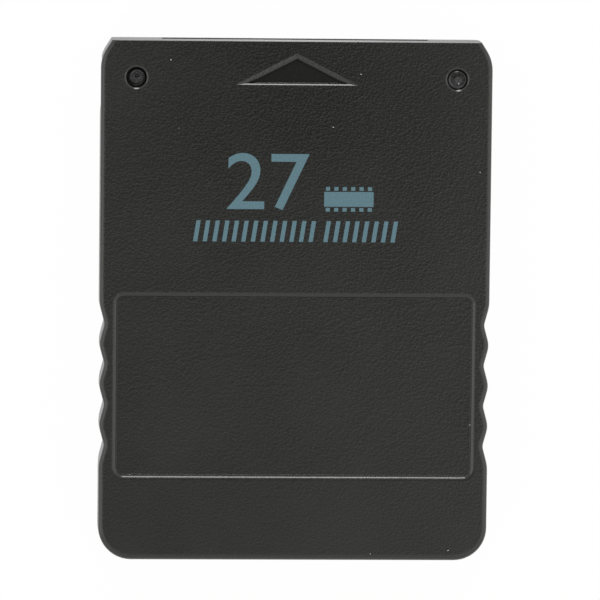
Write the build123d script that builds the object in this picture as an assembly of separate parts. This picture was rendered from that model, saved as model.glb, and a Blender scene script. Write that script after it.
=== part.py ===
from build123d import *
from math import atan, cos, radians, tan
import os

# A console memory card lying on its rear face: millimetres, +Z out of the front face,
# +Y towards the connector end, origin at the middle of the rear face.

# The card as a whole
card_width = 42.0
card_length = 56.0
card_thickness = 7.6
corner_radius = 3.6
end_bevel_width = 1.2
end_bevel_length = 1.9
end_bevel_radius = 4.0

# Wavy finger grips along both sides
grip_count = 4
grip_pitch = 4.37
grip_from_foot = 19.0
grip_flank_angle = 15.0
grip_crest_radius = 2.4
grip_valley_radius = 1.2
grip_shoulder_radius = 4.0
grip_crest_drop = 0.05

# The two moulded shells, joined by a tongue on the rear one in a rabbet of the front one
grip_wall = 0.46
end_wall = 2.0
front_skin = 1.7
rear_skin = 1.2
seam_height = 3.8
seam_bevel = 0.12
draft_angle = 1.0
front_edge_radius = 0.55
rear_edge_bevel = 0.4
inner_corner_radius = 0.6
tongue_width = 0.55
tongue_height = 0.9
tongue_clearance = 0.08

# Relief along both sides at the connector end, where the slot's rails run
rail_relief_length = 8.1
rail_relief_ramp = 1.3
rail_relief_depth = 0.2
rail_relief_height = 6.6

# Label recess in the front face, and a plain shallow one in the rear face
panel_land = 0.275
panel_from_foot = 9.4
panel_height = 19.0
panel_depth = 0.35
panel_corner_radius = 0.7
panel_rim_radius = 0.65
rear_panel_side_margin = 4.0
rear_panel_from_foot = 9.15
rear_panel_height = 30.0
rear_panel_depth = 0.3

# Insertion arrow sunk in the front face: its sides fall in two slopes, to a brow
# and then to a lip over the floor
arrow_width = 13.3
arrow_height = 3.4
arrow_base_from_end = 4.72
arrow_depth = 0.45
arrow_brow_depth = 0.08
arrow_brow_side_inset = 0.34
arrow_brow_base_inset = 0.14
arrow_lip_depth = 0.2
arrow_lip_side_inset = 0.5
arrow_lip_base_inset = 0.21

# Pins of the rear shell that are staked in holes of the front shell and close the card
pin_from_side = 3.85
pin_from_end = 4.0
pin_diameter = 2.05
pin_clearance = 0.075
pin_rim_width = 0.18
pin_rim_depth = 0.1
pin_seat_reach = 1.8
left_pin_recess = 0.8
right_pin_recess = 0.4

# Square pegs pressed into sockets near the other end
peg_from_wall = 3.4
peg_side = 1.8
peg_clearance = 0.05
peg_end_gap = 0.3
socket_wall = 1.1
socket_foot_gap = 0.3

# Circuit board
board_thickness = 1.2
board_headroom = 0.4
board_clearance = 0.25
board_corner_cut = 0.6
board_hole_clearance = 0.175
board_tail = 2.0
ledge_width = 1.0
ledge_length = 6.0
hold_down_width = 1.0

# Plated contacts and the connector mouth around them
contact_groups = (2, 3, 3)
contact_pitch = 3.4
contact_width = 2.0
contact_length = 7.0
contact_thickness = 0.08
contact_setback = 0.4
contact_corner_cut = 0.3
mouth_margin = 1.3
mouth_end_gap = 0.6
mouth_wall = 1.0
mouth_lead_in = 0.25
divider_thickness = 0.9
divider_clearance = 0.15
divider_setback = 1.2

# Parts soldered to the underside of the board
component_gap = 1.2
passive_gap = 1.0
chip_standoff = 0.1
chip_draft = 7.0
flash_length = 18.4
flash_width = 12.0
flash_height = 1.0
flash_lead_length = 0.8
flash_leads_per_end = 24
flash_lead_pitch = 0.5
flash_lead_width = 0.22
flash_lead_thickness = 0.13
controller_side = 7.0
controller_height = 1.4
controller_lead_length = 1.0
controller_leads_per_side = 8
controller_lead_pitch = 0.8
controller_lead_width = 0.35
controller_lead_thickness = 0.15
regulator_length = 2.9
regulator_width = 1.3
regulator_height = 1.0
regulator_lead_length = 0.55
regulator_lead_spacing = 1.9
regulator_lead_width = 0.4
regulator_lead_thickness = 0.13
crystal_length = 5.0
crystal_width = 3.2
crystal_base_height = 0.7
crystal_lid_height = 0.4
crystal_lid_inset = 0.25
bulk_length = 3.2
bulk_width = 1.6
bulk_height = 1.5
bulk_strap_width = 1.2
bulk_strap_thickness = 0.1
bulk_strap_foot = 0.8
capacitor_count = 4
capacitor_length = 2.0
capacitor_width = 1.25
capacitor_height = 0.85
capacitor_end_length = 0.4
resistor_count = 4
resistor_length = 1.6
resistor_width = 0.8
resistor_height = 0.45
resistor_end_length = 0.3
plated_end_swell = 0.03

# How far a cutting solid runs past the face it cuts, and how near a level an edge counts as on it
overcut = 1.0
on_level = 0.01

# Levels
front_depth = card_thickness - seam_height
skin_level = card_thickness - front_skin
board_top = skin_level - board_headroom
board_bottom = board_top - board_thickness

# The grips' zigzag before its corners are rounded, and how deep the rounded valleys cut into the side
half_width = card_width / 2
half_length = card_length / 2
grip_slope = tan(radians(grip_flank_angle))
grip_rounding = 1 / cos(radians(grip_flank_angle)) - 1
grip_crest_x = half_width - grip_crest_drop + grip_crest_radius * grip_rounding
grip_valley_x = grip_crest_x - grip_pitch / 2 * grip_slope
grip_depth = half_width - grip_valley_x - grip_valley_radius * grip_rounding

# Walls and what stands against them
side_wall = grip_depth + grip_wall + tongue_clearance + tongue_width
cavity_side = half_width - side_wall
cavity_end = half_length - end_wall
cavity_foot = -half_length + side_wall
draft_inset = front_depth * tan(radians(draft_angle))
panel_half_width = half_width - grip_depth - draft_inset - front_edge_radius - panel_land - panel_rim_radius
pin_x = half_width - pin_from_side
pin_y = half_length - pin_from_end
peg_x = cavity_side - peg_from_wall
peg_y = cavity_foot + peg_from_wall
board_half_width = cavity_side - board_clearance
board_front = cavity_end - board_clearance

# Contacts in a row, and the mouth that leaves room round them
contact_count = sum(contact_groups)
contact_xs = [(i - (contact_count - 1) / 2) * contact_pitch for i in range(contact_count)]
contact_y = board_front - contact_setback - contact_length / 2
mouth_half_width = contact_xs[-1] + contact_width / 2 + mouth_margin
mouth_back = contact_y - contact_length / 2 - mouth_end_gap
group_ends = [sum(contact_groups[: i + 1]) for i in range(len(contact_groups) - 1)]
divider_xs = [(contact_xs[end - 1] + contact_xs[end]) / 2 for end in group_ends]

# Chips behind the mouth: the flash memory first, then a row with the controller on its left
flash_y = mouth_back - mouth_wall - component_gap - flash_width / 2
second_row = flash_y - flash_width / 2 - component_gap
controller_half_span = controller_side / 2 + controller_lead_length
controller_x = -component_gap / 2 - controller_half_span
controller_y = second_row - controller_half_span
board_back = controller_y - controller_half_span - board_tail


def upright(face, low, high):
    """A flat outline raised from one level to another."""
    return extrude(Pos(Z=low) * face, amount=high - low)


def disc(x, y, diameter):
    return Pos(x, y) * Circle(diameter / 2)


def square(x, y, side):
    return Pos(x, y) * Rectangle(side, side)


def plate(xs, ys):
    """A rectangle between two x values and two y values, in either order."""
    middle = Pos(sum(xs) / 2, sum(ys) / 2)
    return middle * Rectangle(abs(xs[1] - xs[0]), abs(ys[1] - ys[0]))


def card_outline():
    """Plan outline at the seam: bevelled connector corners, wavy grips, round foot corners."""
    lowest_valley = -half_length + grip_from_foot - (grip_count - 1) / 2 * grip_pitch
    highest_valley = lowest_valley + (grip_count - 1) * grip_pitch
    shoulder = (half_width - grip_valley_x) / grip_slope

    side = [(half_width, -half_length, corner_radius)]
    side.append((half_width, lowest_valley - shoulder, grip_shoulder_radius))
    for i in range(grip_count):
        valley_y = lowest_valley + i * grip_pitch
        side.append((grip_valley_x, valley_y, grip_valley_radius))
        if i < grip_count - 1:
            side.append((grip_crest_x, valley_y + grip_pitch / 2, grip_crest_radius))
    side.append((half_width, highest_valley + shoulder, grip_shoulder_radius))
    side.append((half_width, half_length - end_bevel_length, end_bevel_radius))
    side.append((half_width - end_bevel_width, half_length, 0))

    around = side + [(-x, y, radius) for x, y, radius in reversed(side)]
    points = [(x, y) for x, y, radius in around]
    return make_face(FilletPolyline(*points, radius=[radius for x, y, radius in around], close=True))


def cavity_outline(growth=0.0):
    """Inside of the walls in plan, or that outline grown outwards by the same amount all round."""
    side = cavity_side + growth
    end = cavity_end + growth
    foot = cavity_foot - growth
    end_radius = inner_corner_radius + growth
    foot_radius = max(corner_radius - side_wall, inner_corner_radius) + growth
    points = [(-side, foot), (side, foot), (side, end), (-side, end)]
    radii = [foot_radius, foot_radius, end_radius, end_radius]
    return make_face(FilletPolyline(*points, radius=radii, close=True))


def connector_mouth():
    """The space in the connector end that the slot's tongue enters, with its bevelled entry."""
    mouth_width = 2 * mouth_half_width
    mouth_height = board_bottom - rear_skin
    mouth_plan = plate((-mouth_half_width, mouth_half_width), (mouth_back, half_length + overcut))
    mouth = upright(mouth_plan, rear_skin, board_bottom)
    middle = (0, half_length, (rear_skin + board_bottom) / 2)
    entry_plane = Plane(middle, x_dir=(1, 0, 0), z_dir=(0, 1, 0))
    entry = entry_plane * Rectangle(mouth_width + 2 * mouth_lead_in, mouth_height + 2 * mouth_lead_in)
    throat = entry_plane.offset(-mouth_lead_in) * Rectangle(mouth_width, mouth_height)
    return mouth + loft([entry.face(), throat.face()])


def pin_seat(side):
    """Footprint of the corner block round a pin, run out to the walls on its outer sides."""
    return plate((side * (pin_x - pin_seat_reach), side * cavity_side), (pin_y - pin_seat_reach, cavity_end))


def rail_relief():
    """What the slot's rails pass through beside the card, on both sides."""
    start = half_length - rail_relief_length
    end = half_length + overcut
    inside = half_width - rail_relief_depth
    outside = half_width + overcut
    ramp = [(outside, start), (half_width, start), (inside, start + rail_relief_ramp)]
    right = make_face(Polyline(*ramp, (inside, end), (outside, end), close=True))
    return upright(right + mirror(right, Plane.YZ), -overcut, rail_relief_height)


def arrow_outline(depth, side_inset, base_inset):
    """The arrow head that points to the connector end, at a depth and drawn in from its rim."""
    slope = 2 * arrow_height / arrow_width
    rim_base = half_length - arrow_base_from_end
    base = rim_base + base_inset
    tip = rim_base + arrow_height - side_inset / cos(atan(slope))
    reach = (tip - base) / slope
    head = Polyline((-reach, base), (reach, base), (0, tip), close=True)
    return Pos(Z=card_thickness - depth) * make_face(head)


def drafted_half(depth):
    """One half of the card from the seam up, with drafted walls."""
    half = extrude(card_outline(), amount=depth)
    walls = half.faces().filter_by(lambda face: abs(face.normal_at().Z) < on_level)
    return draft(walls, Plane.XY, draft_angle)


def outer_edges(half):
    """Edges round the outer face of a half, apart from the sharp one at the connector end."""
    return half.faces().sort_by(Axis.Z)[-1].outer_wire().edges().sort_by(Axis.Y)[:-1]


def front_rim(shell, outline):
    """Edges that an outline has cut in the front face."""
    box = outline.bounding_box()
    rim = shell.edges().filter_by_position(Axis.Z, card_thickness - on_level, card_thickness + on_level)
    rim = rim.filter_by_position(Axis.X, box.min.X - on_level, box.max.X + on_level)
    return rim.filter_by_position(Axis.Y, box.min.Y - on_level, box.max.Y + on_level)


def make_front_shell():
    shell = Pos(Z=seam_height) * fillet(outer_edges(drafted_half(front_depth)), front_edge_radius)

    # Label recess: a pocket with a rounded rim, filled up to a floor that the rim meets at an angle
    panel_y = -half_length + panel_from_foot + panel_height / 2
    panel = Pos(0, panel_y) * RectangleRounded(2 * panel_half_width, panel_height, panel_corner_radius)
    panel_floor = card_thickness - panel_depth
    pocket_floor = panel_floor - panel_rim_radius
    shell -= upright(panel, pocket_floor, card_thickness + overcut)
    shell = fillet(front_rim(shell, panel), panel_rim_radius)
    shell += upright(offset(panel, panel_rim_radius), pocket_floor, panel_floor)

    # Arrow recess
    rim = arrow_outline(0, 0, 0)
    brow = arrow_outline(arrow_brow_depth, arrow_brow_side_inset, arrow_brow_base_inset)
    lip = arrow_outline(arrow_lip_depth, arrow_lip_side_inset, arrow_lip_base_inset)
    shell -= loft([lip, brow, rim], ruled=True)
    shell -= extrude(lip, amount=arrow_lip_depth - arrow_depth)

    # Relief for the slot's rails
    shell -= rail_relief()

    # Hollow, with the rabbet for the tongue and the upper lip of the mouth
    shell -= upright(cavity_outline(), seam_height - overcut, skin_level)
    rabbet = cavity_outline(tongue_width + tongue_clearance)
    shell -= upright(rabbet, seam_height - overcut, seam_height + tongue_height + tongue_clearance)
    shell -= connector_mouth()

    # Ribs that hold the board down on its seats
    for x in divider_xs:
        rib = plate((x - hold_down_width / 2, x + hold_down_width / 2), (board_back, board_front))
        shell += upright(rib, board_top, skin_level)

    # Corner blocks over the board, with the holes for the staked pins
    hole_diameter = pin_diameter + 2 * pin_clearance
    for side in (-1, 1):
        hole = disc(side * pin_x, pin_y, hole_diameter)
        shell += upright(pin_seat(side), board_top, skin_level)
        shell -= upright(hole, board_top - overcut, card_thickness + overcut)
        face = shell.faces().sort_by(Axis.Z)[-1]
        shell = chamfer(front_rim(shell, hole), pin_rim_width, pin_rim_depth, reference=face)

    # Sockets for the pegs
    bore_side = peg_side + 2 * peg_clearance
    socket_side = bore_side + 2 * socket_wall
    socket_foot = rear_skin + socket_foot_gap
    for side in (-1, 1):
        shell += upright(square(side * peg_x, peg_y, socket_side), socket_foot, skin_level)
        shell -= upright(square(side * peg_x, peg_y, bore_side), socket_foot - overcut, skin_level)
    return shell


def make_rear_shell():
    half = drafted_half(seam_height)
    half = chamfer(half.faces().sort_by(Axis.Z)[0].outer_wire().edges(), seam_bevel)
    half = chamfer(outer_edges(half), rear_edge_bevel)
    shell = Pos(Z=seam_height) * Rot(Y=180) * half
    shell -= rail_relief()

    # Plain shallow recess in the rear face
    rear_panel_size = (card_width - 2 * rear_panel_side_margin, rear_panel_height)
    rear_panel_y = -half_length + rear_panel_from_foot + rear_panel_height / 2
    rear_panel = Pos(0, rear_panel_y) * RectangleRounded(*rear_panel_size, panel_corner_radius)
    shell -= upright(rear_panel, -overcut, rear_panel_depth)

    # Hollow, with the tongue round the top of the wall, broken by the mouth
    shell -= upright(cavity_outline(), rear_skin, seam_height + overcut)
    tongue = cavity_outline(tongue_width) - cavity_outline()
    shell += upright(tongue, seam_height - tongue_height, seam_height + tongue_height)
    shell -= connector_mouth()

    # Walls of the mouth, which seat the board, and the dividers between the contact groups
    mouth_outside = mouth_half_width + mouth_wall
    for side in (-1, 1):
        cheek = plate((side * mouth_half_width, side * mouth_outside), (mouth_back - mouth_wall, cavity_end))
        shell += upright(cheek, rear_skin, board_bottom)
    back = plate((-mouth_outside, mouth_outside), (mouth_back - mouth_wall, mouth_back))
    shell += upright(back, rear_skin, board_bottom)
    divider_ys = (mouth_back, half_length - divider_setback)
    for x in divider_xs:
        divider = plate((x - divider_thickness / 2, x + divider_thickness / 2), divider_ys)
        shell += upright(divider, rear_skin, board_bottom - divider_clearance)

    # Corner blocks under the board, with the pins that are staked in the front shell
    for side, recess in ((-1, left_pin_recess), (1, right_pin_recess)):
        shell += upright(pin_seat(side), rear_skin, board_bottom)
        shell += upright(disc(side * pin_x, pin_y, pin_diameter), board_bottom, card_thickness - recess)

    # Ledges under the far corners of the board, and the pegs
    for side in (-1, 1):
        ledge_xs = (side * (cavity_side - ledge_length), side * cavity_side)
        shell += upright(plate(ledge_xs, (board_back, board_back + ledge_width)), rear_skin, board_bottom)
        shell += upright(square(side * peg_x, peg_y, peg_side), rear_skin, skin_level - peg_end_gap)
    return shell


def make_circuit_board():
    outline = plate((-board_half_width, board_half_width), (board_back, board_front))
    outline = chamfer(outline.vertices(), board_corner_cut)
    for side in (-1, 1):
        outline -= disc(side * pin_x, pin_y, pin_diameter + 2 * board_hole_clearance)
    return upright(outline, board_bottom, board_top)


def make_contact_finger(x):
    pad = Rectangle(contact_width, contact_length)
    pad = chamfer(pad.vertices(), contact_corner_cut)
    return upright(Pos(x, contact_y) * pad, board_bottom - contact_thickness, board_bottom)


def under_board(x, y):
    """A seat on the underside of the board: a part built upwards from z = 0 hangs below the board there."""
    return Plane((x, y, board_bottom), x_dir=(1, 0, 0), z_dir=(0, 0, -1))


def chip_package(length, width, height, lead_thickness):
    """Moulded chip package: an upright band where the leads come out, tapered above and below it."""
    base = Rectangle(length, width)
    half = (height - lead_thickness) / 2
    band_low = chip_standoff + half
    band_high = band_low + lead_thickness
    tapered = extrude(base, amount=half, taper=chip_draft)
    band = upright(base, band_low, band_high)
    return band + Pos(Z=band_high) * tapered + Pos(Z=band_low) * Rot(X=180) * tapered


def bent_lead(reach, width, thickness, package_height):
    """One lead that leaves the package along +X at x = 0, slopes down and stands on z = 0."""
    high = chip_standoff + (package_height + thickness) / 2
    low = high - thickness
    bend = reach / 2
    top = [(0, high), (bend, thickness), (reach, thickness)]
    bottom = [(reach, 0), (bend - thickness, 0), (0, low)]
    profile = Plane.XZ * make_face(Polyline(*top, *bottom, close=True))
    return extrude(profile, amount=width / 2, both=True)


def lead_row(lead, count, pitch, distance, turn):
    """Like leads side by side along one side of a package, that side turned about the package's middle."""
    ys = [(i - (count - 1) / 2) * pitch for i in range(count)]
    return [Rot(Z=turn) * Pos(distance, y) * lead for y in ys]


def make_flash_memory():
    seat = under_board(0, flash_y)
    package = chip_package(flash_length, flash_width, flash_height, flash_lead_thickness)
    lead = bent_lead(flash_lead_length, flash_lead_width, flash_lead_thickness, flash_height)
    leads = []
    for turn in (0, 180):
        leads += lead_row(lead, flash_leads_per_end, flash_lead_pitch, flash_length / 2, turn)
    return seat * package, Compound(children=[seat * one for one in leads])


def make_controller():
    seat = under_board(controller_x, controller_y)
    package = chip_package(controller_side, controller_side, controller_height, controller_lead_thickness)
    lead_size = (controller_lead_length, controller_lead_width, controller_lead_thickness)
    lead = bent_lead(*lead_size, controller_height)
    leads = []
    for turn in (0, 90, 180, 270):
        leads += lead_row(lead, controller_leads_per_side, controller_lead_pitch, controller_side / 2, turn)
    return seat * package, Compound(children=[seat * one for one in leads])


def make_regulator(x, y):
    """Three-lead package: two leads on one long side, one on the other."""
    seat = under_board(x, y)
    package = chip_package(regulator_length, regulator_width, regulator_height, regulator_lead_thickness)
    lead_size = (regulator_lead_length, regulator_lead_width, regulator_lead_thickness)
    lead = bent_lead(*lead_size, regulator_height)
    leads = lead_row(lead, 2, regulator_lead_spacing, regulator_width / 2, 90)
    leads += lead_row(lead, 1, regulator_lead_spacing, regulator_width / 2, 270)
    return seat * package, Compound(children=[seat * one for one in leads])


def make_crystal(x, y):
    """Ceramic base with a metal lid sealed on it."""
    seat = under_board(x, y)
    base = upright(Rectangle(crystal_length, crystal_width), 0, crystal_base_height)
    lid = Rectangle(crystal_length - 2 * crystal_lid_inset, crystal_width - 2 * crystal_lid_inset)
    lid = chamfer(lid.vertices(), crystal_lid_inset)
    return seat * base, seat * upright(lid, crystal_base_height, crystal_base_height + crystal_lid_height)


def make_bulk_capacitor(x, y):
    """Moulded block on two metal straps that fold from its ends to its underside."""
    seat = under_board(x, y)
    body = upright(Rectangle(bulk_length, bulk_width), bulk_strap_thickness, bulk_height)
    end = bulk_length / 2
    strap_end = end + bulk_strap_thickness
    strap_top = bulk_height / 2
    toe = end - bulk_strap_foot
    fold = [(toe, 0), (strap_end, 0), (strap_end, strap_top), (end, strap_top)]
    fold += [(end, bulk_strap_thickness), (toe, bulk_strap_thickness)]
    strap = extrude(Plane.XZ * make_face(Polyline(*fold, close=True)), amount=bulk_strap_width / 2, both=True)
    return seat * body, Compound(children=[seat * Rot(Z=turn) * strap for turn in (0, 180)])


def plated_chip(length, width, height, end_length):
    """A chip resistor or capacitor: a ceramic block with slightly larger plated ends."""
    on_seat = (Align.CENTER, Align.CENTER, Align.MIN)
    core_size = (length - end_length, width - 2 * plated_end_swell, height - 2 * plated_end_swell)
    chip = Pos(Z=plated_end_swell) * Box(*core_size, align=on_seat)
    for side in (-1, 1):
        chip += Pos(side * (length - end_length) / 2) * Box(end_length, width, height, align=on_seat)
    return chip


def chip_row(chip, count, length, y):
    """Like chips in a row across the board, starting right of the controller."""
    xs = [component_gap + length / 2 + i * (length + passive_gap) for i in range(count)]
    return [under_board(x, y) * chip for x in xs]


pieces = {
    "front_shell": make_front_shell(),
    "rear_shell": make_rear_shell(),
    "circuit_board": make_circuit_board(),
}
for number, contact_x in enumerate(contact_xs, start=1):
    pieces[f"contact_finger_{number}"] = make_contact_finger(contact_x)
pieces["flash_memory_package"], pieces["flash_memory_leads"] = make_flash_memory()
pieces["controller_package"], pieces["controller_leads"] = make_controller()

# Right of the controller: crystal, regulator and bulk capacitor side by side
crystal_x = component_gap + crystal_length / 2
crystal_y = second_row - crystal_width / 2
regulator_x = crystal_x + crystal_length / 2 + component_gap + regulator_length / 2
bulk_x = regulator_x + regulator_length / 2 + component_gap + bulk_strap_thickness + bulk_length / 2
pieces["crystal_base"], pieces["crystal_lid"] = make_crystal(crystal_x, crystal_y)
pieces["regulator_package"], pieces["regulator_leads"] = make_regulator(regulator_x, crystal_y)
pieces["bulk_capacitor_body"], pieces["bulk_capacitor_terminals"] = make_bulk_capacitor(bulk_x, crystal_y)

# Below them, a row of ceramic capacitors and a row of resistors
row_half_width = max(crystal_width, regulator_width + 2 * regulator_lead_length, bulk_width) / 2
capacitor_y = crystal_y - row_half_width - passive_gap - capacitor_width / 2
capacitor = plated_chip(capacitor_length, capacitor_width, capacitor_height, capacitor_end_length)
for number, piece in enumerate(chip_row(capacitor, capacitor_count, capacitor_length, capacitor_y), start=1):
    pieces[f"ceramic_capacitor_{number}"] = piece
resistor_y = capacitor_y - capacitor_width / 2 - passive_gap - resistor_width / 2
resistor = plated_chip(resistor_length, resistor_width, resistor_height, resistor_end_length)
for number, piece in enumerate(chip_row(resistor, resistor_count, resistor_length, resistor_y), start=1):
    pieces[f"resistor_{number}"] = piece

os.makedirs("parts", exist_ok=True)
for name, piece in pieces.items():
    export_step(piece, f"parts/{name}.step")
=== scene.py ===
from math import cos, exp, pi, radians, sin

import bmesh
import bpy
from mathutils import Matrix, Vector, noise


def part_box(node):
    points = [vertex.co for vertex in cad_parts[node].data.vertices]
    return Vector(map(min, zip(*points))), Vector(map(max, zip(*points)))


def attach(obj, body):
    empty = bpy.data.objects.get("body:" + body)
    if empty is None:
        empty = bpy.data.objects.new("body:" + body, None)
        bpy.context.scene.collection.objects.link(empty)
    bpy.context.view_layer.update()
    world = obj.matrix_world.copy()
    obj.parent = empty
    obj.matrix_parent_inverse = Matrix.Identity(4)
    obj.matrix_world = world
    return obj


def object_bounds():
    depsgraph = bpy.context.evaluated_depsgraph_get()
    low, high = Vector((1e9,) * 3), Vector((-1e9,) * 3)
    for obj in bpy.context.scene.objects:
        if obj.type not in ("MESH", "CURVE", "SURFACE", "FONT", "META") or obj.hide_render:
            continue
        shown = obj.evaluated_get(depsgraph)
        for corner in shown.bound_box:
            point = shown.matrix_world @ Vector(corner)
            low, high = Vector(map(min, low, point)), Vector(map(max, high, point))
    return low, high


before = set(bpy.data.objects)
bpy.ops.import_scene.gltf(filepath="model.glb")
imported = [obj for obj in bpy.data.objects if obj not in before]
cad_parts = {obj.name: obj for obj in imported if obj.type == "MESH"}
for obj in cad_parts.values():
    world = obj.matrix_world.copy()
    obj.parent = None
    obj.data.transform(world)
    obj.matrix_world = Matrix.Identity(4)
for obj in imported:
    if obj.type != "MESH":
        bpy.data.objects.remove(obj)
cad_low, cad_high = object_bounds()
mm = 0.001

# Rear shell: the half that carries everything, injection moulded in black ABS.
# The mould was etched, so the skin has a fine leathery grain. The walls of the connector mouth, the seats
# of the board and the two pins that close the card are moulded on.


def linear(hex_colour):
    """An sRGB hex colour as the linear RGBA that the shaders take."""
    shares = [int(hex_colour[i : i + 2], 16) / 255 for i in (1, 3, 5)]
    return (*[s / 12.92 if s <= 0.04045 else ((s + 0.055) / 1.055) ** 2.4 for s in shares], 1.0)


def add_node(tree, kind, inputs=None, **settings):
    """A new node in a tree: settings are its properties, and each input is a value or a socket to link."""
    made = tree.nodes.new(kind)
    for name, value in settings.items():
        setattr(made, name, value)
    for key, value in (inputs or {}).items():
        if isinstance(value, bpy.types.NodeSocket):
            tree.links.new(value, made.inputs[key])
        else:
            made.inputs[key].default_value = value
    return made


def new_finish(name):
    """An empty material with its surface shader and a source of Object coordinates."""
    material = bpy.data.materials.new(name)
    material.use_nodes = True
    tree = material.node_tree
    tree.nodes.clear()
    shader = add_node(tree, "ShaderNodeBsdfPrincipled", name="surface")
    add_node(tree, "ShaderNodeOutputMaterial", {"Surface": shader.outputs["BSDF"]})
    place = add_node(tree, "ShaderNodeTexCoord", name="place").outputs["Object"]
    return material, tree, shader, place


def blend_colours(tree, share, stops):
    """Colours along a share from 0 to 1, given as pairs of position and hex colour."""
    ramp = add_node(tree, "ShaderNodeValToRGB", {"Fac": share})
    marks = ramp.color_ramp.elements
    while len(marks) < len(stops):
        marks.new(1.0)
    for mark, (position, colour) in zip(marks, stops):
        mark.position = position
        mark.color = linear(colour)
    return ramp.outputs["Color"]


def dress(node, material):
    """Gives a CAD node its finish."""
    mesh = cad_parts[node].data
    mesh.materials.clear()
    mesh.materials.append(material)


def moulded_abs(name):
    """Black ABS from an etched mould: near black, a low sheen broken up by leathery grain."""
    wrinkle_size = 0.25 * mm
    wrinkle_stretch = 1.2
    wrinkle_wander = 0.2 * mm
    wrinkle_depth = 0.03 * mm
    grit_size = 0.12 * mm
    grit_depth = 0.008 * mm
    worn_foot, full_grain = -28 * mm, 8 * mm
    foot_strength, full_strength = 0.25, 0.9
    rim_facing, rim_spread = 0.65, 0.27
    rim_strength, rim_roughness = 0.1, 0.17
    sheen_patch = 9 * mm
    smoothest, dullest = 0.27, 0.32
    edge_softness = 0.09 * mm

    material, tree, shader, place = new_finish(name)
    drift = add_node(tree, "ShaderNodeTexNoise", {"Vector": place, "Scale": 1 / wrinkle_size, "Detail": 1.0})
    wander = add_node(
        tree,
        "ShaderNodeVectorMath",
        {0: drift.outputs["Color"], 1: (0.5, 0.5, 0.5)},
        operation="SUBTRACT",
    )
    warped = add_node(
        tree,
        "ShaderNodeVectorMath",
        {0: wander.outputs[0], 1: (wrinkle_wander,) * 3, 2: place},
        operation="MULTIPLY_ADD",
    )
    across = add_node(
        tree,
        "ShaderNodeMapping",
        {"Vector": warped.outputs[0], "Scale": (1 / wrinkle_stretch, 1, 1)},
    )
    wrinkles = add_node(
        tree,
        "ShaderNodeTexVoronoi",
        {"Vector": across.outputs[0], "Scale": 1 / wrinkle_size, "Smoothness": 0.35},
        feature="SMOOTH_F1",
    )
    grit = add_node(tree, "ShaderNodeTexNoise", {"Vector": place, "Scale": 1 / grit_size, "Detail": 2.0})
    along = add_node(tree, "ShaderNodeSeparateXYZ", {0: place}).outputs["Y"]
    handled = add_node(
        tree,
        "ShaderNodeMapRange",
        {
            "Value": along,
            "From Min": worn_foot,
            "From Max": full_grain,
            "To Min": foot_strength,
            "To Max": full_strength,
        },
    )
    normal = add_node(tree, "ShaderNodeNewGeometry").outputs["Normal"]
    facing = add_node(tree, "ShaderNodeSeparateXYZ", {0: normal})
    flat = add_node(tree, "ShaderNodeMath", {0: facing.outputs["Z"]}, operation="ABSOLUTE")
    slanted = {0: flat.outputs[0], 1: rim_facing, 2: rim_spread}
    rim = add_node(tree, "ShaderNodeMath", slanted, operation="COMPARE").outputs[0]
    left_of_grain = add_node(
        tree,
        "ShaderNodeMix",
        {0: rim, 2: handled.outputs[0], 3: rim_strength},
        name="left_of_grain",
    ).outputs[0]
    soft_edge = add_node(tree, "ShaderNodeBevel", {"Radius": edge_softness}, samples=6, name="soft_edge")
    coarse = add_node(
        tree,
        "ShaderNodeBump",
        {
            "Strength": left_of_grain,
            "Height": wrinkles.outputs["Distance"],
            "Normal": soft_edge.outputs[0],
            "Distance": wrinkle_depth,
        },
        name="wrinkle_bump",
    )
    fine = add_node(
        tree,
        "ShaderNodeBump",
        {
            "Strength": left_of_grain,
            "Height": grit.outputs["Fac"],
            "Normal": coarse.outputs[0],
            "Distance": grit_depth,
        },
        name="grit_bump",
    )
    colour = blend_colours(tree, grit.outputs["Fac"], ((0.3, "#181817"), (0.7, "#22221f")))
    patches = add_node(tree, "ShaderNodeTexNoise", {"Vector": place, "Scale": 1 / sheen_patch, "Detail": 2.0})
    dull = add_node(
        tree,
        "ShaderNodeMapRange",
        {
            "Value": patches.outputs["Fac"],
            "From Min": 0.3,
            "From Max": 0.7,
            "To Min": smoothest,
            "To Max": dullest,
        },
    )
    sheen = add_node(tree, "ShaderNodeMix", {0: rim, 2: dull.outputs[0], 3: rim_roughness}, name="sheen")
    tree.links.new(colour, shader.inputs["Base Color"])
    tree.links.new(sheen.outputs[0], shader.inputs["Roughness"])
    tree.links.new(fine.outputs[0], shader.inputs["Normal"])
    shader.inputs["IOR"].default_value = 1.54
    return material


dress("rear_shell", moulded_abs("rear_shell_abs"))

# Circuit board: a plate of glass cloth and epoxy under green solder mask, with copper tracks that show through
# as paler lines. It was routed out of a larger sheet, so its edges show the bare yellowish laminate.
track_pitch = 0.9 * mm
weave_pitch = 0.5 * mm

board_finish, tree, shader, place = new_finish("solder_masked_laminate")
tracks = add_node(
    tree,
    "ShaderNodeTexWave",
    {"Vector": place, "Scale": 2 * pi / track_pitch / 20, "Distortion": 1.5, "Detail": 0.0, "Detail Scale": 0.4},
    bands_direction="X",
)
masked = blend_colours(tree, tracks.outputs["Fac"], ((0.62, "#123f24"), (0.72, "#2b6b3c")))
facing = add_node(tree, "ShaderNodeNewGeometry")
facing = add_node(tree, "ShaderNodeSeparateXYZ", {0: facing.outputs["Normal"]})
flat = add_node(tree, "ShaderNodeMath", {0: facing.outputs["Z"]}, operation="ABSOLUTE")
on_face = add_node(tree, "ShaderNodeMath", {0: flat.outputs[0], 1: 0.5}, operation="GREATER_THAN")
weave = add_node(tree, "ShaderNodeTexNoise", {"Vector": place, "Scale": 1 / weave_pitch, "Detail": 2.0})
bare = blend_colours(tree, weave.outputs["Fac"], ((0.35, "#8f8a55"), (0.65, "#b9b27c")))
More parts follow.
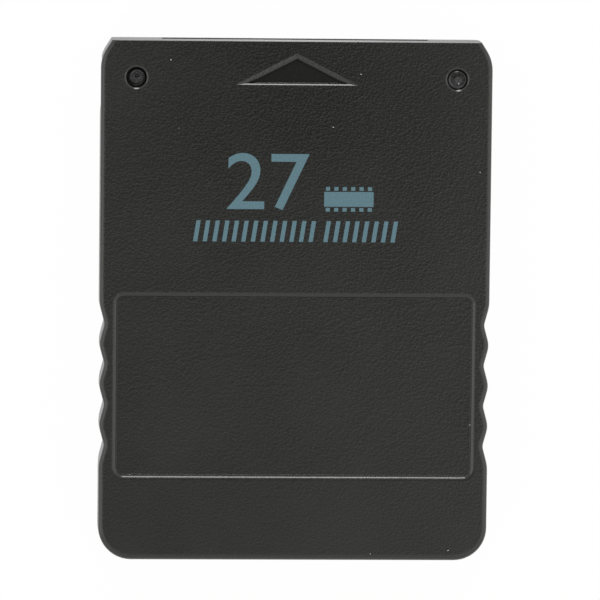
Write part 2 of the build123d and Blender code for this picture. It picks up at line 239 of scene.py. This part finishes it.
colour = add_node(tree, "ShaderNodeMix", {0: on_face.outputs[0], 6: bare, 7: masked}, data_type="RGBA")
relief = add_node(tree, "ShaderNodeBump", {"Height": tracks.outputs["Fac"], "Distance": 0.02 * mm})
tree.links.new(colour.outputs[2], shader.inputs["Base Color"])
tree.links.new(relief.outputs[0], shader.inputs["Normal"])
shader.inputs["Roughness"].default_value = 0.32
shader.inputs["IOR"].default_value = 1.55
dress("circuit_board", board_finish)

# Contacts: eight copper pads on the underside of the board, plated with nickel and hard gold.
# The slot's springs have rubbed them lengthwise, which leaves fine bright streaks.
streak_width = 0.06 * mm
streak_length = 3 * mm

gold, tree, shader, place = new_finish("hard_gold_plate")
streak_scale = (1 / streak_width, 1 / streak_length, 1 / streak_width)
along = add_node(tree, "ShaderNodeMapping", {"Vector": place, "Scale": streak_scale})
streaks = add_node(tree, "ShaderNodeTexNoise", {"Vector": along.outputs[0], "Scale": 1.0, "Detail": 2.0})
colour = blend_colours(tree, streaks.outputs["Fac"], ((0.3, "#c9963f"), (0.7, "#e6bf6c")))
polish = add_node(tree, "ShaderNodeMapRange", {"Value": streaks.outputs["Fac"], "To Min": 0.18, "To Max": 0.42})
tree.links.new(colour, shader.inputs["Base Color"])
tree.links.new(polish.outputs[0], shader.inputs["Roughness"])
shader.inputs["Metallic"].default_value = 1.0
for number in range(1, 9):
    dress(f"contact_finger_{number}", gold)

# Chips: flash memory, controller and regulator in black moulding resin that is full of silica, which leaves
# a matt, faintly speckled skin. They hang under the board on bent leads.


def speckled(name, grain, colours, roughness, **surface):
    """A solid finish with fine speckle of one grain size, between two colours and two roughnesses."""
    material, tree, shader, place = new_finish(name)
    specks = add_node(tree, "ShaderNodeTexNoise", {"Vector": place, "Scale": 1 / grain, "Detail": 3.0})
    tree.links.new(
        blend_colours(tree, specks.outputs["Fac"], ((0.35, colours[0]), (0.65, colours[1]))),
        shader.inputs["Base Color"],
    )
    dull = add_node(
        tree,
        "ShaderNodeMapRange",
        {
            "Value": specks.outputs["Fac"],
            "From Min": 0.3,
            "From Max": 0.7,
            "To Min": roughness[0],
            "To Max": roughness[1],
        },
    )
    tree.links.new(dull.outputs[0], shader.inputs["Roughness"])
    bump = add_node(tree, "ShaderNodeBump", {"Height": specks.outputs["Fac"], "Distance": grain / 20})
    tree.links.new(bump.outputs[0], shader.inputs["Normal"])
    for socket, value in surface.items():
        shader.inputs[socket].default_value = value
    return material


resin = speckled("silica_filled_resin", 0.12 * mm, ("#141416", "#212124"), (0.5, 0.65), IOR=1.55)
tin = speckled("tinned_lead_frame", 0.2 * mm, ("#aeb1b4", "#cfd1d2"), (0.28, 0.45), Metallic=1.0)
for chip in ("flash_memory", "controller", "regulator"):
    dress(f"{chip}_package", resin)
    dress(f"{chip}_leads", tin)

# Crystal: a base of white alumina ceramic with a drawn nickel lid sealed on it.
dress("crystal_base", speckled("white_alumina", 0.15 * mm, ("#cfcabd", "#dedace"), (0.45, 0.6), IOR=1.77))
dress("crystal_lid", speckled("rolled_nickel", 0.1 * mm, ("#a9a498", "#bdb8ad"), (0.22, 0.36), Metallic=1.0))

# Bulk capacitor: a tantalum block moulded in ochre resin, on two tinned straps.
dress("bulk_capacitor_body", speckled("ochre_resin", 0.12 * mm, ("#b9781f", "#cb8a2e"), (0.4, 0.52), IOR=1.55))
dress("bulk_capacitor_terminals", tin)

# Small chips: four ceramic capacitors, tan right through, and four resistors with a black glazed film.
# Both were dipped at the ends, and what was dipped is tinned.
capacitor_end = 0.4 * mm
resistor_end = 0.3 * mm


def dipped_chip(node, body_colours, end_length):
    """The finish of one chip: ceramic in the middle of its length and tin over both ends."""
    low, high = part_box(node)
    middle = (low + high) / 2
    material = speckled(node + "_ceramic", 0.1 * mm, body_colours, (0.3, 0.45), IOR=1.6)
    tree = material.node_tree
    shader = tree.nodes["surface"]
    body = shader.inputs["Base Color"].links[0].from_socket
    across = add_node(tree, "ShaderNodeSeparateXYZ", {0: tree.nodes["place"].outputs["Object"]})
    from_middle = add_node(tree, "ShaderNodeMath", {0: across.outputs["X"], 1: middle.x}, operation="SUBTRACT")
    from_middle = add_node(tree, "ShaderNodeMath", {0: from_middle.outputs[0]}, operation="ABSOLUTE")
    reach = (high.x - low.x) / 2 - end_length
    dipped = add_node(tree, "ShaderNodeMath", {0: from_middle.outputs[0], 1: reach}, operation="GREATER_THAN")
    tinned = linear("#c4c6c8")
    colour = add_node(tree, "ShaderNodeMix", {0: dipped.outputs[0], 6: body, 7: tinned}, data_type="RGBA")
    tree.links.new(colour.outputs[2], shader.inputs["Base Color"])
    tree.links.new(dipped.outputs[0], shader.inputs["Metallic"])
    dress(node, material)


for number in range(1, 5):
    dipped_chip(f"ceramic_capacitor_{number}", ("#96794f", "#a98c60"), capacitor_end)
    dipped_chip(f"resistor_{number}", ("#121213", "#1d1d1f"), resistor_end)

# Front shell: the half with the grips, the arrow and the label recess, in the same black ABS.
# The arrow was cut in the mould and polished, so its floor is smoother and darker than the grain round it,
# and the edge at the foot is worn rounder than the others.
front_low, front_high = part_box("front_shell")
face_height = front_high.z
arrow_half_width = 6.5 * mm
arrow_from_end = 5.0 * mm
arrow_rim_depth = 0.4 * mm
arrow_floor_depth = 0.5 * mm
arrow_roughness = 0.12
thumb_from_end = 6 * mm
thumb_pad, thumb_reach = 4 * mm, 20 * mm
thumb_polish = 0.1
foot_reach = 1.4 * mm
foot_softness = 0.5 * mm

front_plastic = moulded_abs("front_shell_abs")
tree = front_plastic.node_tree
axes = add_node(tree, "ShaderNodeSeparateXYZ", {0: tree.nodes["place"].outputs["Object"]})
sideways = add_node(tree, "ShaderNodeMath", {0: axes.outputs["X"]}, operation="ABSOLUTE")
in_arrow = None
for value, limit, side in (
    (sideways.outputs[0], arrow_half_width, "LESS_THAN"),
    (axes.outputs["Y"], front_high.y - arrow_from_end, "GREATER_THAN"),
    (axes.outputs["Z"], face_height - arrow_rim_depth, "LESS_THAN"),
    (axes.outputs["Z"], face_height - arrow_floor_depth, "GREATER_THAN"),
):
    within = add_node(tree, "ShaderNodeMath", {0: value, 1: limit}, operation=side)
    if in_arrow:
        both = {0: in_arrow.outputs[0], 1: within.outputs[0]}
        within = add_node(tree, "ShaderNodeMath", both, operation="MULTIPLY")
    in_arrow = within
thumb = add_node(
    tree,
    "ShaderNodeVectorMath",
    {0: tree.nodes["place"].outputs["Object"], 1: (0, front_high.y - thumb_from_end, face_height)},
    operation="DISTANCE",
)
rubbed = add_node(
    tree,
    "ShaderNodeMapRange",
    {
        "Value": thumb.outputs["Value"],
        "From Min": thumb_pad,
        "From Max": thumb_reach,
        "To Min": thumb_polish,
        "To Max": 0.0,
    },
)
rubbed = add_node(
    tree,
    "ShaderNodeMath",
    {0: tree.nodes["sheen"].outputs[0], 1: rubbed.outputs[0]},
    operation="SUBTRACT",
)
polished = add_node(tree, "ShaderNodeMix", {0: in_arrow.outputs[0], 2: rubbed.outputs[0], 3: arrow_roughness})
tree.links.new(polished.outputs[0], tree.nodes["surface"].inputs["Roughness"])
grained = add_node(
    tree,
    "ShaderNodeMix",
    {0: in_arrow.outputs[0], 2: tree.nodes["left_of_grain"].outputs[0], 3: 0.0},
)
for bump in ("wrinkle_bump", "grit_bump"):
    tree.links.new(grained.outputs[0], tree.nodes[bump].inputs["Strength"])
foot_band = {0: axes.outputs["Y"], 1: front_low.y + foot_reach}
near_foot = add_node(tree, "ShaderNodeMath", foot_band, operation="LESS_THAN")
softness = tree.nodes["soft_edge"].inputs["Radius"]
worn = add_node(tree, "ShaderNodeMix", {0: near_foot.outputs[0], 2: softness.default_value, 3: foot_softness})
tree.links.new(worn.outputs[0], softness)
dress("front_shell", front_plastic)

# Pin ends: the tops of the rear shell's two pins, pressed with a hot tool inside the holes of the front shell.
# That left rings, a rolled edge and an uneven hollow, and spread each end until it almost fills its hole.
# They are ABS that melted, so they are smoother than the shell.
pressed_diameter = 2.14 * mm
pin_from_side = 3.85 * mm
pin_from_end = 4.0 * mm

melted_abs = speckled("hot_pressed_abs", 0.4 * mm, ("#101010", "#191918"), (0.18, 0.28), IOR=1.54)


def add_piece(name, mesh):
    """A piece of the scene from its finished mesh, which rides on the card."""
    piece = bpy.data.objects.new(name, mesh)
    bpy.context.collection.objects.link(piece)
    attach(piece, "root")
    return piece


def pin_end(name, side, pin_top, hollow_turn, hollow_out, hollow_size, hollow_depth, ring_height):
    """A pressed pin end on the flat top of its pin: rings round the middle, one hollow, a rolled edge."""
    ring_count = 26
    spoke_count = 72
    ring_pitch = 0.46 * mm
    lift = 0.22 * mm
    foot = 0.01 * mm
    edge_drop = lift * 0.8
    edge_sharpness = 6
    unevenness = 0.015 * mm
    uneven_patch = 0.35 * mm
    uneven_start = Vector((side * 7.0, 0, 0))
    radius = pressed_diameter / 2
    centre = Vector((side * (cad_high.x - pin_from_side), cad_high.y - pin_from_end, pin_top))
    hollow = Vector((cos(hollow_turn), sin(hollow_turn), 0)) * hollow_out

    def surface_point(ring, spoke):
        turn = 2 * pi * spoke / spoke_count
        out = radius * ring / ring_count
        spot = Vector((out * cos(turn), out * sin(turn), 0))
        height = lift + ring_height * cos(2 * pi * (out / ring_pitch + spoke / spoke_count))
        height += unevenness * noise.noise(spot / uneven_patch + uneven_start)
        height -= hollow_depth * exp(-((spot - hollow).length / hollow_size) ** 2)
        height -= edge_drop * (ring / ring_count) ** edge_sharpness
        return centre + spot + Vector((0, 0, max(height, 2 * foot)))

    shape = bmesh.new()
    middle = shape.verts.new(surface_point(0, 0))
    rings = []
    for r in range(1, ring_count + 1):
        rings.append([shape.verts.new(surface_point(r, s)) for s in range(spoke_count)])
    rings.append([shape.verts.new((v.co.x, v.co.y, pin_top + foot)) for v in rings[-1]])
    for s in range(spoke_count):
        n = (s + 1) % spoke_count
        shape.faces.new((middle, rings[0][s], rings[0][n]))
        for inner, outer in zip(rings, rings[1:]):
            shape.faces.new((inner[s], outer[s], outer[n], inner[n]))
    shape.faces.new(reversed(rings[-1]))
    for face in shape.faces:
        face.smooth = True
    mesh = bpy.data.meshes.new(name)
    shape.to_mesh(mesh)
    shape.free()
    mesh.materials.append(melted_abs)
    return add_piece(name, mesh)


left_end = pin_end(
    "left_pin_end",
    side=-1,
    pin_top=6.8 * mm,
    hollow_turn=radians(50),
    hollow_out=0.12 * mm,
    hollow_size=0.2 * mm,
    hollow_depth=0.2 * mm,
    ring_height=0.03 * mm,
)
right_end = pin_end(
    "right_pin_end",
    side=1,
    pin_top=7.2 * mm,
    hollow_turn=radians(-50),
    hollow_out=0.25 * mm,
    hollow_size=0.3 * mm,
    hollow_depth=0.16 * mm,
    ring_height=0.015 * mm,
)

# Print: one thin coat of blue-grey ink, pad printed on the front face below the arrow.
# It holds a plain number, a plain chip sign and two groups of slanted ticks.
ink_above = 0.012 * mm
ink_below = 0.01 * mm
number_left, number_right = -7.4 * mm, 1.4 * mm
number_foot, number_top = 9.9 * mm, 16.0 * mm

ink = speckled("pad_printing_ink", 0.2 * mm, ("#4c6a73", "#53727b"), (0.5, 0.6), IOR=1.5)


def ink_row_tree():
    """Geometry nodes for a row of like slanted bars, as a thin coat that stands on z = 0."""
    tree = bpy.data.node_groups.new("ink_row", "GeometryNodeTree")
    for name, kind in (
        ("Count", "NodeSocketInt"),
        ("Pitch", "NodeSocketFloat"),
        ("Width", "NodeSocketFloat"),
        ("Height", "NodeSocketFloat"),
        ("Slant", "NodeSocketFloat"),
        ("Coat", "NodeSocketFloat"),
        ("Ink", "NodeSocketMaterial"),
    ):
        tree.interface.new_socket(name, in_out="INPUT", socket_type=kind)
    tree.interface.new_socket("Geometry", in_out="OUTPUT", socket_type="NodeSocketGeometry")
    given = add_node(tree, "NodeGroupInput").outputs
    bar = add_node(
        tree,
        "GeometryNodeCurvePrimitiveQuadrilateral",
        {"Width": given["Width"], "Height": given["Height"], "Offset": given["Slant"]},
        mode="PARALLELOGRAM",
    )
    filled = add_node(tree, "GeometryNodeFillCurve", {"Curve": bar.outputs[0]})
    coat = add_node(tree, "GeometryNodeExtrudeMesh", {"Mesh": filled.outputs[0], "Offset Scale": given["Coat"]})
    base = add_node(tree, "GeometryNodeFlipFaces", {"Mesh": filled.outputs[0]})
    solid = add_node(tree, "GeometryNodeJoinGeometry")
    tree.links.new(coat.outputs["Mesh"], solid.inputs[0])
    tree.links.new(base.outputs[0], solid.inputs[0])
    closed = add_node(
        tree,
        "GeometryNodeMergeByDistance",
        {"Geometry": solid.outputs[0], "Distance": 0.001 * mm},
    )
    step = add_node(tree, "ShaderNodeCombineXYZ", {"X": given["Pitch"]})
    places = add_node(
        tree,
        "GeometryNodeMeshLine",
        {"Count": given["Count"], "Offset": step.outputs[0]},
        mode="OFFSET",
    )
    bars = add_node(
        tree,
        "GeometryNodeInstanceOnPoints",
        {"Points": places.outputs[0], "Instance": closed.outputs[0]},
    )
    real = add_node(tree, "GeometryNodeRealizeInstances", {"Geometry": bars.outputs[0]})
    inked = add_node(tree, "GeometryNodeSetMaterial", {"Geometry": real.outputs[0], "Material": given["Ink"]})
    add_node(tree, "NodeGroupOutput", {"Geometry": inked.outputs[0]})
    return tree


def grown(name, tree, inputs, start=None):
    """The plain mesh that a geometry tree makes with the given inputs, from a start mesh or from nothing."""
    holder = bpy.data.objects.new(name, start or bpy.data.meshes.new(name))
    bpy.context.collection.objects.link(holder)
    modifier = holder.modifiers.new("form", "NODES")
    modifier.node_group = tree
    for socket in tree.interface.items_tree:
        if socket.in_out == "INPUT" and socket.name in inputs:
            modifier[socket.identifier] = inputs[socket.name]
    mesh = bpy.data.meshes.new_from_object(holder.evaluated_get(bpy.context.evaluated_depsgraph_get()))
    bpy.data.objects.remove(holder)
    return mesh


def laid_on_face(name, mesh, corner):
    """A piece of print with its lower left corner at a place on the front face."""
    xs = [v.co.x for v in mesh.vertices]
    ys = [v.co.y for v in mesh.vertices]
    low_corner = Vector((min(xs), min(ys), 0))
    mesh.transform(Matrix.Translation(Vector((*corner, face_height - ink_below)) - low_corner))
    add_piece(name, mesh)


row_tree = ink_row_tree()
chip_left, chip_foot = 3.0 * mm, 10.3 * mm
chip_width, chip_height = 5.3 * mm, 1.6 * mm
leg_pitch, leg_width, leg_height = 0.9 * mm, 0.45 * mm, 0.4 * mm
leg_gap = 0.12 * mm
legs_left = chip_left + 0.18 * mm
legs_below = chip_foot - leg_gap - leg_height
legs_above = chip_foot + chip_height + leg_gap
tick_pitch, tick_width, tick_height, tick_slant = 1.03 * mm, 0.46 * mm, 2.25 * mm, 0.35 * mm
for name, count, pitch, width, height, slant, corner in (
    ("print_chip", 1, 0, chip_width, chip_height, 0, (chip_left, chip_foot)),
    ("print_legs_below", 6, leg_pitch, leg_width, leg_height, 0, (legs_left, legs_below)),
    ("print_legs_above", 6, leg_pitch, leg_width, leg_height, 0, (legs_left, legs_above)),
    ("print_ticks_left", 13, tick_pitch, tick_width, tick_height, tick_slant, (-11.0 * mm, 6.5 * mm)),
    ("print_ticks_right", 8, tick_pitch, tick_width, tick_height, tick_slant, (2.95 * mm, 6.5 * mm)),
):
    sizes = {"Count": count, "Pitch": pitch, "Width": width, "Height": height, "Slant": slant}
    mesh = grown(name, row_tree, {**sizes, "Coat": ink_above + ink_below, "Ink": ink})
    laid_on_face(name, mesh, corner)

numerals = bpy.data.curves.new("print_number", "FONT")
numerals.body = "27"
numerals.extrude = (ink_above + ink_below) / 2
numerals.size = 1.0
numerals.offset = 0.002
holder = bpy.data.objects.new("print_number", numerals)
bpy.context.collection.objects.link(holder)
mesh = bpy.data.meshes.new_from_object(holder.evaluated_get(bpy.context.evaluated_depsgraph_get()))
bpy.data.objects.remove(holder)
xs = [v.co.x for v in mesh.vertices]
ys = [v.co.y for v in mesh.vertices]
wide = (number_right - number_left) / (max(xs) - min(xs))
tall = (number_top - number_foot) / (max(ys) - min(ys))
lifted = Matrix.Translation((0, 0, (ink_above + ink_below) / 2))
mesh.transform(lifted @ Matrix.Diagonal((wide, tall, 1, 1)))
mesh.materials.clear()
mesh.materials.append(ink)
laid_on_face("print_number", mesh, (number_left, number_foot))

# Dust: a few pale specks of lint that lie on the front face and in the recess, as the card was found.
speck_places = (
    (-13.5, 25.9, 0.00),
    (-12.6, 18.6, 0.00),
    (6.8, 24.5, 0.00),
    (3.9, 18.8, 0.00),
    (-7.1, 0.65, 0.20),
    (19.0, -13.2, 0.30),
    (-17.6, -18.7, 0.15),
    (16.8, -26.8, 0.00),
    (8.4, -27.2, 0.00),
    (19.7, 14.1, 0.00),
)
speck_radius = 0.06 * mm

lint = speckled("lint", 0.05 * mm, ("#a9a7a1", "#d4d2cc"), (0.7, 0.9))


def lint_tree():
    """Geometry nodes for a small uneven speck on each point, turned and stretched at random."""
    tree = bpy.data.node_groups.new("lint", "GeometryNodeTree")
    tree.interface.new_socket("Geometry", in_out="INPUT", socket_type="NodeSocketGeometry")
    tree.interface.new_socket("Radius", in_out="INPUT", socket_type="NodeSocketFloat")
    tree.interface.new_socket("Lint", in_out="INPUT", socket_type="NodeSocketMaterial")
    tree.interface.new_socket("Geometry", in_out="OUTPUT", socket_type="NodeSocketGeometry")
    given = add_node(tree, "NodeGroupInput").outputs
    speck = add_node(tree, "GeometryNodeMeshIcoSphere", {"Radius": given["Radius"], "Subdivisions": 2})
    size = add_node(tree, "FunctionNodeRandomValue", data_type="FLOAT_VECTOR")
    size.inputs["Min"].default_value = (0.7, 0.4, 0.3)
    size.inputs["Max"].default_value = (1.6, 0.9, 0.5)
    size.inputs["Seed"].default_value = 4
    turn = add_node(tree, "FunctionNodeRandomValue", data_type="FLOAT_VECTOR")
    turn.inputs["Min"].default_value = (0, 0, 0)
    turn.inputs["Max"].default_value = (0, 0, 2 * pi)
    turn.inputs["Seed"].default_value = 9
    laid = add_node(
        tree,
        "GeometryNodeInstanceOnPoints",
        {
            "Points": given["Geometry"],
            "Instance": speck.outputs[0],
            "Rotation": turn.outputs[0],
            "Scale": size.outputs[0],
        },
    )
    real = add_node(tree, "GeometryNodeRealizeInstances", {"Geometry": laid.outputs[0]})
    dusted = add_node(tree, "GeometryNodeSetMaterial", {"Geometry": real.outputs[0], "Material": given["Lint"]})
    add_node(tree, "NodeGroupOutput", {"Geometry": dusted.outputs[0]})
    return tree


points = bpy.data.meshes.new("dust")
speck_level = face_height + speck_radius / 4
spots = [(x * mm, y * mm, speck_level - depth * mm) for x, y, depth in speck_places]
points.from_pydata(spots, [], [])
mesh = grown("dust", lint_tree(), {"Radius": speck_radius, "Lint": lint}, points)
add_piece("dust", mesh)

# Floor: a sheet of white paper that the card lies on. It shows white to the camera and in reflections, and still
# takes the card's soft shadow. Before the foot, a painted shadow dims its glow in reflections.
floor_half = 2.0
paper_glow = 0.975
shade_reach, shade_under = 12 * mm, 8 * mm
shade_left = 0.25
bpy.ops.mesh.primitive_plane_add(size=2 * floor_half)
floor = bpy.context.object
floor.name = "floor"
paper = bpy.data.materials.new("white_paper")
paper.use_nodes = True
tree = paper.node_tree
tree.nodes.clear()
diffuse = add_node(tree, "ShaderNodeBsdfDiffuse", {"Color": linear("#f4f4f4")})
glow = add_node(tree, "ShaderNodeEmission", {"Color": linear("#ffffff"), "Strength": 1.0})
ray = add_node(tree, "ShaderNodeLightPath").outputs
place = add_node(tree, "ShaderNodeTexCoord").outputs["Object"]
along = add_node(tree, "ShaderNodeSeparateXYZ", {0: place}).outputs["Y"]
# Painted shadow: in reflections, the paper's glow falls to shade_left of its strength in front of the card's
# foot. This stands in for the card's shadow on the floor there.
painted_foot_shadow = add_node(
    tree,
    "ShaderNodeMapRange",
    {
        "Value": along,
        "From Min": cad_low.y - shade_reach,
        "From Max": cad_low.y + shade_under,
        "To Min": shade_left,
        "To Max": 1.0,
    },
)
lit = add_node(tree, "ShaderNodeMath", {0: ray["Is Glossy Ray"], 1: painted_foot_shadow.outputs[0]}, operation="MULTIPLY")
seen = add_node(tree, "ShaderNodeMath", {0: ray["Is Camera Ray"], 1: lit.outputs[0]}, operation="ADD")
seen = add_node(tree, "ShaderNodeMath", {0: seen.outputs[0], 1: ray["Is Transmission Ray"]}, operation="ADD")
share = add_node(tree, "ShaderNodeMath", {0: seen.outputs[0], 1: paper_glow}, operation="MULTIPLY")
mixed = add_node(tree, "ShaderNodeMixShader", {0: share.outputs[0], 1: diffuse.outputs[0], 2: glow.outputs[0]})
add_node(tree, "ShaderNodeOutputMaterial", {"Surface": mixed.outputs[0]})
floor.data.materials.append(paper)

# Camera: almost straight down, leaning a little towards the connector end and the left side.
lean_to_end = radians(5.646)
lean_to_left = radians(2.858)
roll = radians(0.596)
back = Vector((-sin(lean_to_left), sin(lean_to_end), 1)).normalized()
right = Vector((0, 1, 0)).cross(back).normalized()
above = back.cross(right)
right, above = right * cos(roll) + above * sin(roll), above * cos(roll) - right * sin(roll)
camera = bpy.data.cameras.new("camera")
camera.sensor_width = 36.0
camera.lens = 296.25
holder = bpy.data.objects.new("camera", camera)
stand = Vector((-25.7, 52.0, 533.6)) * mm
holder.matrix_world = Matrix.Translation(stand) @ Matrix((right, above, back)).transposed().to_4x4()
bpy.context.collection.objects.link(holder)
bpy.context.scene.camera = holder
bpy.context.scene.view_settings.view_transform = "Standard"

# Light: soft boxes round the card, strongest beyond the connector end, in a pale room whose ceiling is dark
# round the place where the picture was taken from.
for name, azimuth, elevation, away, size, power in (
    ("end_light", 90, 38, 0.8, 0.25, 1.8),
    ("left_light", 180, 30, 0.8, 0.7, 1.2),
    ("right_light", 0, 30, 0.8, 0.7, 0.8),
    ("foot_left_light", -135, 56, 0.27, 0.12, 0.026),
    ("foot_right_light", -45, 58, 0.27, 0.12, 0.03),
):
    lamp = bpy.data.lights.new(name, "AREA")
    lamp.shape = "SQUARE"
    lamp.size = size
    lamp.energy = power
    holder = bpy.data.objects.new(name, lamp)
    a, e = radians(azimuth), radians(elevation)
    holder.location = Vector((cos(a) * cos(e), sin(a) * cos(e), sin(e))) * away
    holder.rotation_euler = (-holder.location).to_track_quat("-Z", "Y").to_euler()
    bpy.context.collection.objects.link(holder)

world = bpy.context.scene.world or bpy.data.worlds.new("room")
bpy.context.scene.world = world
world.use_nodes = True
tree = world.node_tree
tree.nodes.clear()
outward = add_node(tree, "ShaderNodeTexCoord").outputs["Generated"]
off_axis = add_node(tree, "ShaderNodeVectorMath", {0: outward, 1: stand.normalized()}, operation="DOT_PRODUCT")
ramp = add_node(tree, "ShaderNodeValToRGB", {"Fac": off_axis.outputs["Value"]})
marks = ramp.color_ramp.elements
steps = ((90, 0.92), (60, 0.9), (36, 0.85), (23, 0.66), (15, 0.26), (8, 0.02))
while len(marks) < len(steps):
    marks.new(1.0)
for mark, (degrees, level) in zip(marks, steps):
    mark.position = cos(radians(degrees))
    mark.color = (level, level, level, 1)
sky = add_node(tree, "ShaderNodeBackground", {"Color": ramp.outputs["Color"], "Strength": 1.0})
add_node(tree, "ShaderNodeOutputWorld", {"Surface": sky.outputs[0]})
